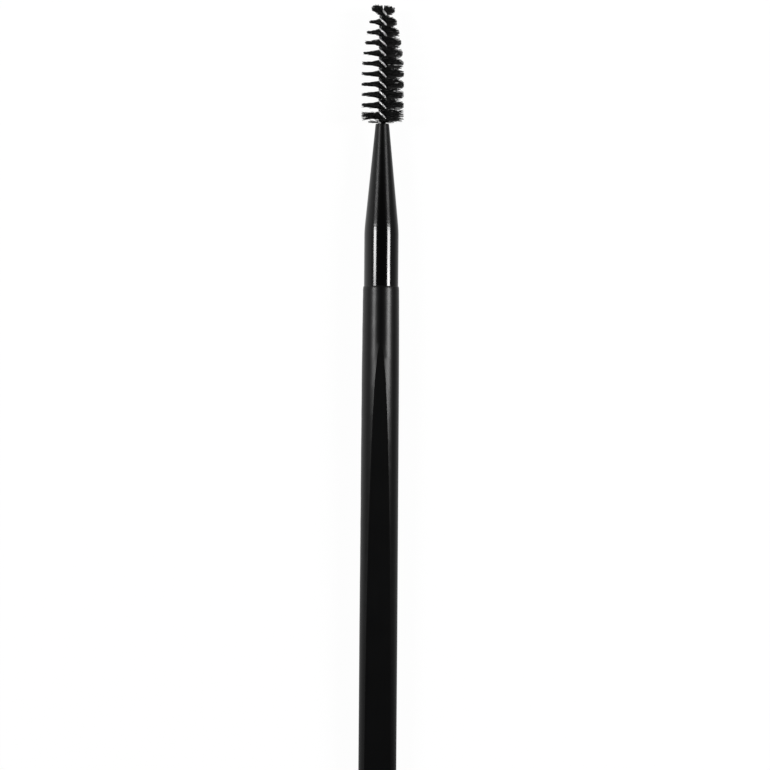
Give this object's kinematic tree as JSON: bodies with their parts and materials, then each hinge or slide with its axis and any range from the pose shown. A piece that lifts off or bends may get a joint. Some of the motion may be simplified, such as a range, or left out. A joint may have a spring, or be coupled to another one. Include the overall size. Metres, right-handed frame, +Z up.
{
  "type": "eyebrow brush",
  "caption": "Twisted-wire eyebrow brush with a tapered round bristle head, a conical ferrule and a long handle that flattens toward its end.",
  "frame": {"origin": "on the table, below the middle of the brush's outline as it lies", "axes": "+Y along the brush toward the bristle head, +Z up from the table, the handle's flats facing up and down"},
  "size_m": [0.0086, 0.1772, 0.0086],
  "materials": {
    "handle_lacquer": "satin black lacquer over turned wood",
    "ferrule_gloss": "gloss black coating on drawn aluminium",
    "resin": "cured clear resin",
    "steel_wire": "bright drawn wire",
    "nylon": "black nylon"
  },
  "bodies": {
    "root": {"handle": "handle_lacquer", "ferrule": "ferrule_gloss", "glue_plug": "resin", "wire": "steel_wire", "bristles": "nylon"}
  },
  "joints": []
}
